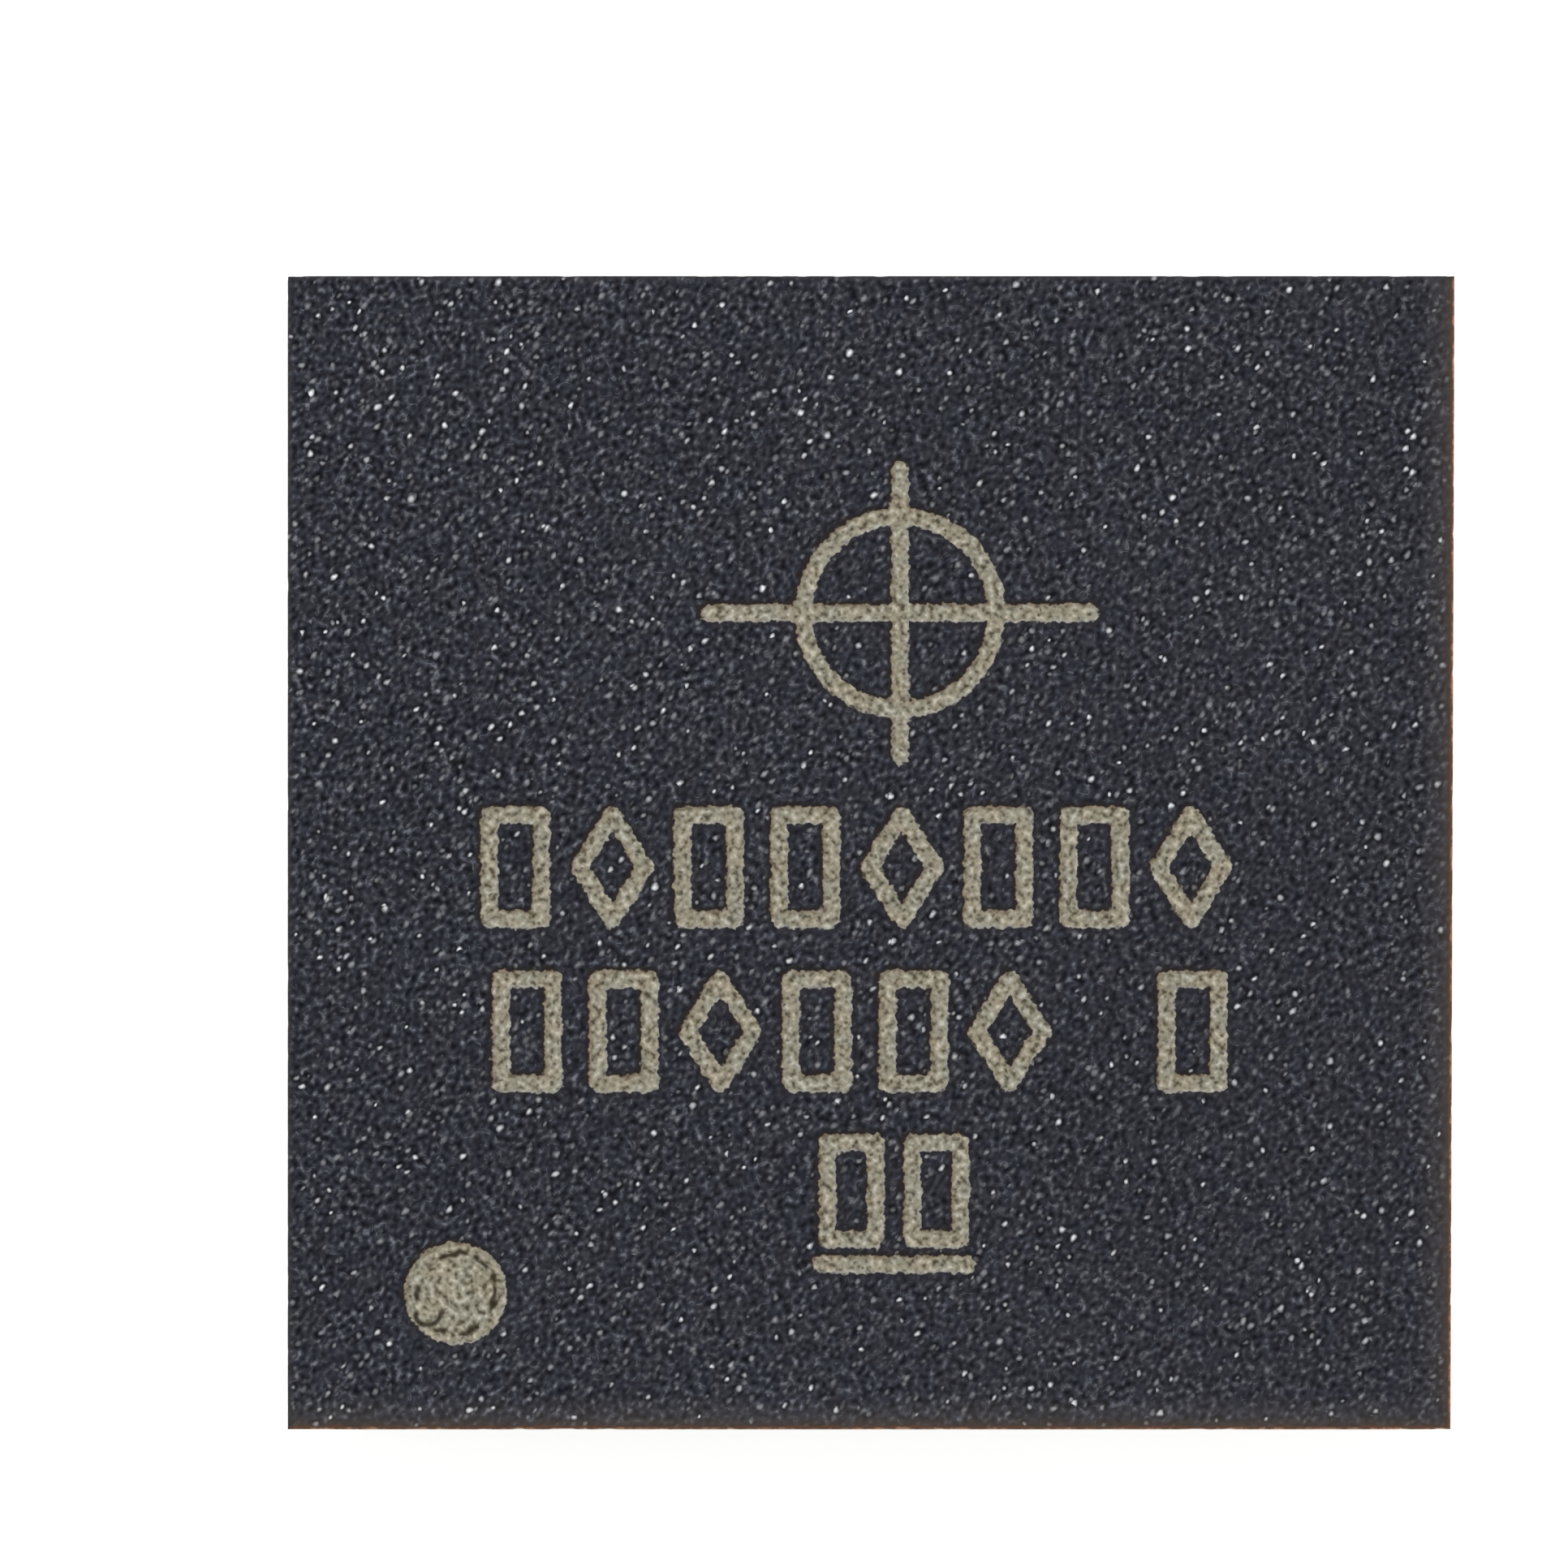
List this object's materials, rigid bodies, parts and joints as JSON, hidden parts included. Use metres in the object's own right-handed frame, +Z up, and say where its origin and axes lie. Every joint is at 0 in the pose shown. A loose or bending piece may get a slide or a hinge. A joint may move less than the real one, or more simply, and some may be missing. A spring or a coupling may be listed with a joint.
{
  "type": "bga chip",
  "caption": "Square moulded integrated circuit package with a green laminate substrate and staggered rows of solder balls underneath, for soldering flat onto a circuit board.",
  "frame": {"origin": "centre of the package, on the plane that the ball tips stand on", "axes": "+Z up to the marked mould face, +X across the ball rows, the pin 1 corner at -X -Y"},
  "size_m": [0.006, 0.006, 0.0009],
  "materials": {
    "mould": "matte",
    "silicon": "polished",
    "die_attach": "satin",
    "gold": "polished",
    "gold_plate": "satin",
    "copper": "satin",
    "bare_copper": "satin",
    "solder_mask": "gloss",
    "laminate": "matte",
    "solder": "satin"
  },
  "bodies": {
    "root": {"mould_cap": "mould", "silicon_die": "silicon", "die_attach": "die_attach", "wires_left": "gold", "wires_right": "gold", "wires_front": "gold", "wires_back": "gold", "top_solder_mask": "solder_mask", "die_paddle": "copper", "bond_fingers": "gold_plate", "substrate_core": "laminate", "signal_vias": "copper", "ground_vias": "copper", "ball_pads": "copper", "ground_pour": "copper", "power_pours": "copper", "pin_1_triangle": "bare_copper", "bottom_solder_mask": "solder_mask", "solder_balls": "solder"}
  },
  "joints": []
}
